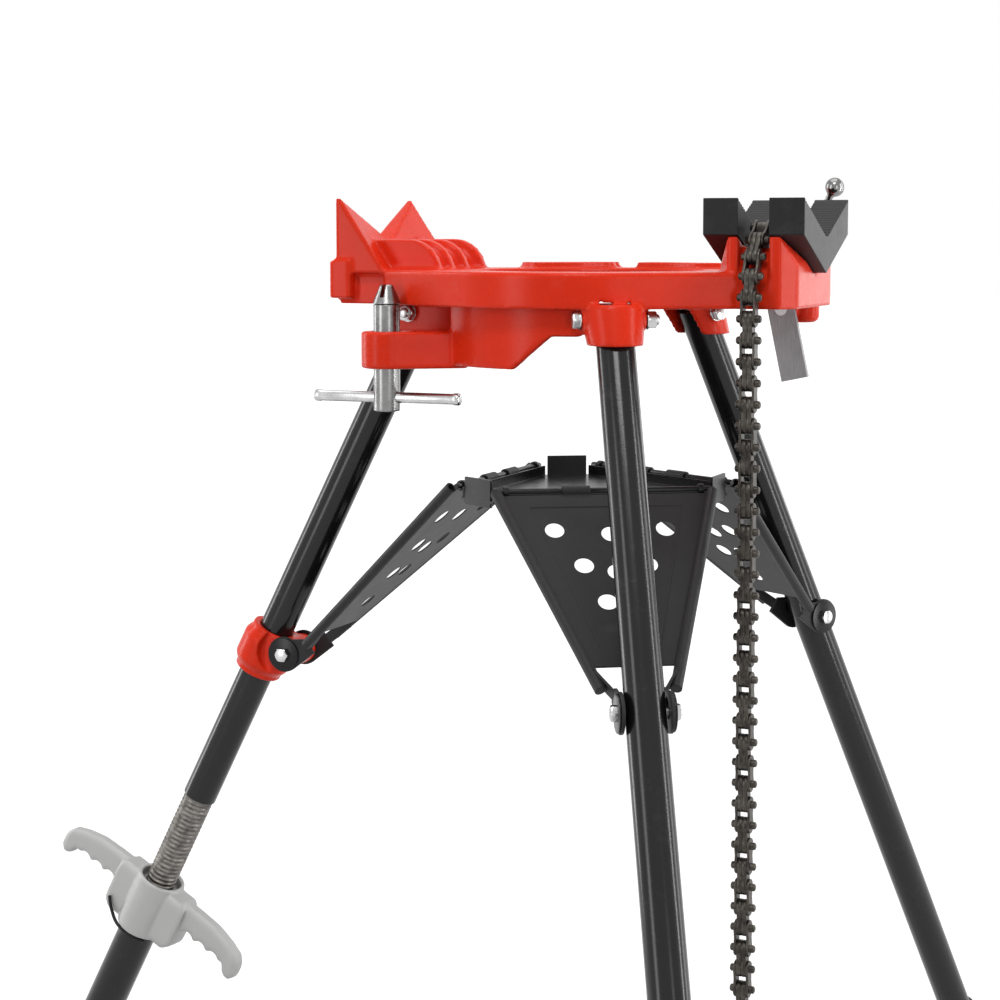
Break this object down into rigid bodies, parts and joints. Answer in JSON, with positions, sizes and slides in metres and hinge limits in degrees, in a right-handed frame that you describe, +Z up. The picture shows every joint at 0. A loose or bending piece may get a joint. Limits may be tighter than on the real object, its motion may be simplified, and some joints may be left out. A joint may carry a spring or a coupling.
{
  "type": "tripod pipe vise stand",
  "caption": "Folding tripod stand with a cast ring head, V-jaw chain vise, V pipe rest with bender, ceiling brace screw, folding tray and a levelling rear leg.",
  "frame": {"origin": "middle of the assembled box, on the floor", "axes": "+X along the pipe from the pipe rest to the jaws, +Y to the chain claw's side, +Z up"},
  "size_m": [0.9442, 1.0376, 0.9862],
  "materials": {
    "casting_red": "glossy orange-red enamel on rough iron castings",
    "leg_black": "glossy black enamel on steel tube",
    "jaw_steel": "black oxide on hardened steel",
    "chain_steel": "oiled dark steel",
    "zinc_steel": "bright zinc plate",
    "cast_aluminium": "as-cast, lightly polished",
    "tray_sheet": "glossy black enamel on pressed sheet",
    "foot_rubber": "matt black rubber",
    "lever_steel": "plain grey steel",
    "clip_wire": "black spring wire",
    "ball_chrome": "polished chrome",
    "levelling_thread": "dull oiled thread"
  },
  "bodies": {
    "head": {"base_casting": "casting_red", "vise_jaw_inner": "jaw_steel", "vise_jaw_outer": "jaw_steel", "jaw_bolts": "zinc_steel", "chain_anchor_lug": "chain_steel", "chain_anchor_pin": "chain_steel", "chain_slot_links": "chain_steel", "leg_pivot_bolts": "zinc_steel", "leg_pivot_nuts": "zinc_steel", "leg_pivot_washers": "zinc_steel"},
    "leg_near": {"front_leg_near": "leg_black", "front_foot_near": "foot_rubber", "front_wing_bolt_near": "zinc_steel"},
    "leg_far": {"front_leg_far": "leg_black", "front_foot_far": "foot_rubber", "front_wing_bolt_far": "zinc_steel"},
    "leg_rear": {"rear_upper_leg": "leg_black", "levelling_screw": "levelling_thread", "rear_collar": "casting_red", "collar_screw": "zinc_steel", "rear_wing_bolt": "zinc_steel"},
    "leg_rear_lower": {"rear_lower_tube": "leg_black", "rear_foot": "foot_rubber"},
    "wing_nut": {"levelling_wing_nut": "cast_aluminium", "wire_clip": "clip_wire"},
    "tray": {"tray_plate": "tray_sheet", "tray_hinge_rods": "zinc_steel"},
    "wing_near": {"front_wing_near": "tray_sheet"},
    "wing_far": {"front_wing_far": "tray_sheet"},
    "wing_rear": {"rear_wing": "tray_sheet"},
    "brace_tip": {"brace_nub": "zinc_steel"},
    "brace": {"brace_screw": "zinc_steel"},
    "brace_handle": {"brace_bar": "zinc_steel"},
    "lever": {"tension_lever": "lever_steel", "lever_shaft": "zinc_steel"},
    "tension": {"tension_rod": "zinc_steel"},
    "claw": {"chain_claw": "jaw_steel", "claw_pin": "zinc_steel", "claw_ball": "ball_chrome"},
    "chain_1": {"chain_run_1": "chain_steel"},
    "chain_2": {"chain_run_2": "chain_steel"},
    "chain_3": {"chain_run_3": "chain_steel"},
    "chain_4": {"chain_run_4": "chain_steel"},
    "chain_5": {"chain_run_5": "chain_steel"}
  },
  "joints": [
    {"name": "near_leg_fold", "type": "hinge", "parent": "head", "child": "leg_near", "pos_m": [0.23328, -0.12012, 0.8562], "axis": [0.866, 0.5, 0], "range_deg": [0, 25.5]},
    {"name": "far_leg_fold", "type": "hinge", "parent": "head", "child": "leg_far", "pos_m": [0.23328, 0.12012, 0.8562], "axis": [-0.866, 0.5, 0], "range_deg": [0, 25.5]},
    {"name": "rear_leg_fold", "type": "hinge", "parent": "head", "child": "leg_rear", "pos_m": [-0.01137, 0, 0.8562], "axis": [0, -1, 0], "range_deg": [0, 20.4]},
    {"name": "tray_lift", "type": "slide", "parent": "head", "child": "tray", "axis": [0, 0, 1], "range_m": [0, 0.056]},
    {"name": "near_wing_hinge", "type": "hinge", "parent": "tray", "child": "wing_near", "pos_m": [0.20993, -0.07967, 0.697], "axis": [0.866, 0.5, 0], "range_deg": [0, 40.5]},
    {"name": "far_wing_hinge", "type": "hinge", "parent": "tray", "child": "wing_far", "pos_m": [0.20993, 0.07967, 0.697], "axis": [-0.866, 0.5, 0], "range_deg": [0, 40.5]},
    {"name": "rear_wing_hinge", "type": "hinge", "parent": "tray", "child": "wing_rear", "pos_m": [0.07193, 0, 0.697], "axis": [0, -1, 0], "range_deg": [0, 30.75]},
    {"name": "levelling_slide", "type": "slide", "parent": "leg_rear", "child": "leg_rear_lower", "axis": [-0.4515, 0, -0.8923], "range_m": [-0.085, 0.05]},
    {"name": "wing_nut_turn", "type": "hinge", "parent": "leg_rear_lower", "child": "wing_nut", "pos_m": [-0.33284, 0, 0.2209], "axis": [-0.4515, 0, -0.8923], "range_deg": [-6120, 3600]},
    {"name": "brace_lift", "type": "slide", "parent": "head", "child": "brace_tip", "axis": [0, 0, 1], "range_m": [-0.024, 0.016]},
    {"name": "brace_screw_turn", "type": "hinge", "parent": "brace_tip", "child": "brace", "pos_m": [0.00093, -0.105, 0.867], "axis": [0, 0, 1], "range_deg": [-2160, 1440]},
    {"name": "brace_bar_slide", "type": "slide", "parent": "brace", "child": "brace_handle", "axis": [1, 0, 0], "range_m": [-0.06, 0.06]},
    {"name": "lever_turn", "type": "hinge", "parent": "head", "child": "lever", "pos_m": [0.33573, 0.067, 0.861], "axis": [0, 1, 0], "range_deg": [-20, 50]},
    {"name": "tension_slide", "type": "slide", "parent": "head", "child": "tension", "axis": [0, 0, 1], "range_m": [-0.008, 0.0035]},
    {"name": "claw_hinge", "type": "hinge", "parent": "tension", "child": "claw", "pos_m": [0.34963, 0.098, 0.931], "axis": [1, 0, 0], "range_deg": [-36, 11]},
    {"name": "chain_hinge_1", "type": "hinge", "parent": "head", "child": "chain_1", "pos_m": [0.34963, -0.08886, 0.85756], "axis": [1, 0, 0], "range_deg": [-12, 12]},
    {"name": "chain_hinge_2", "type": "hinge", "parent": "chain_1", "child": "chain_2", "pos_m": [0.34963, -0.08886, 0.70516], "axis": [1, 0, 0], "range_deg": [-8, 8]},
    {"name": "chain_hinge_3", "type": "hinge", "parent": "chain_2", "child": "chain_3", "pos_m": [0.34963, -0.08886, 0.55276], "axis": [1, 0, 0], "range_deg": [-8, 8]},
    {"name": "chain_hinge_4", "type": "hinge", "parent": "chain_3", "child": "chain_4", "pos_m": [0.34963, -0.08886, 0.40036], "axis": [1, 0, 0], "range_deg": [-8, 8]},
    {"name": "chain_hinge_5", "type": "hinge", "parent": "chain_4", "child": "chain_5", "pos_m": [0.34963, -0.08886, 0.24796], "axis": [1, 0, 0], "range_deg": [-8, 8]}
  ],
  "couplings": [
    {"joint": "far_leg_fold", "follows": "near_leg_fold", "ratio": 1},
    {"joint": "rear_leg_fold", "follows": "near_leg_fold", "ratio": 0.8},
    {"joint": "tray_lift", "follows": "near_leg_fold", "m_per_rad": 0.12582},
    {"joint": "near_wing_hinge", "follows": "near_leg_fold", "ratio": 1.5882},
    {"joint": "far_wing_hinge", "follows": "near_leg_fold", "ratio": 1.5882},
    {"joint": "rear_wing_hinge", "follows": "near_leg_fold", "ratio": 1.2059},
    {"joint": "levelling_slide", "follows": "wing_nut_turn", "m_per_rad": 0.00079577},
    {"joint": "brace_lift", "follows": "brace_screw_turn", "m_per_rad": 0.00063661},
    {"joint": "tension_slide", "follows": "lever_turn", "m_per_rad": -0.0087}
  ]
}
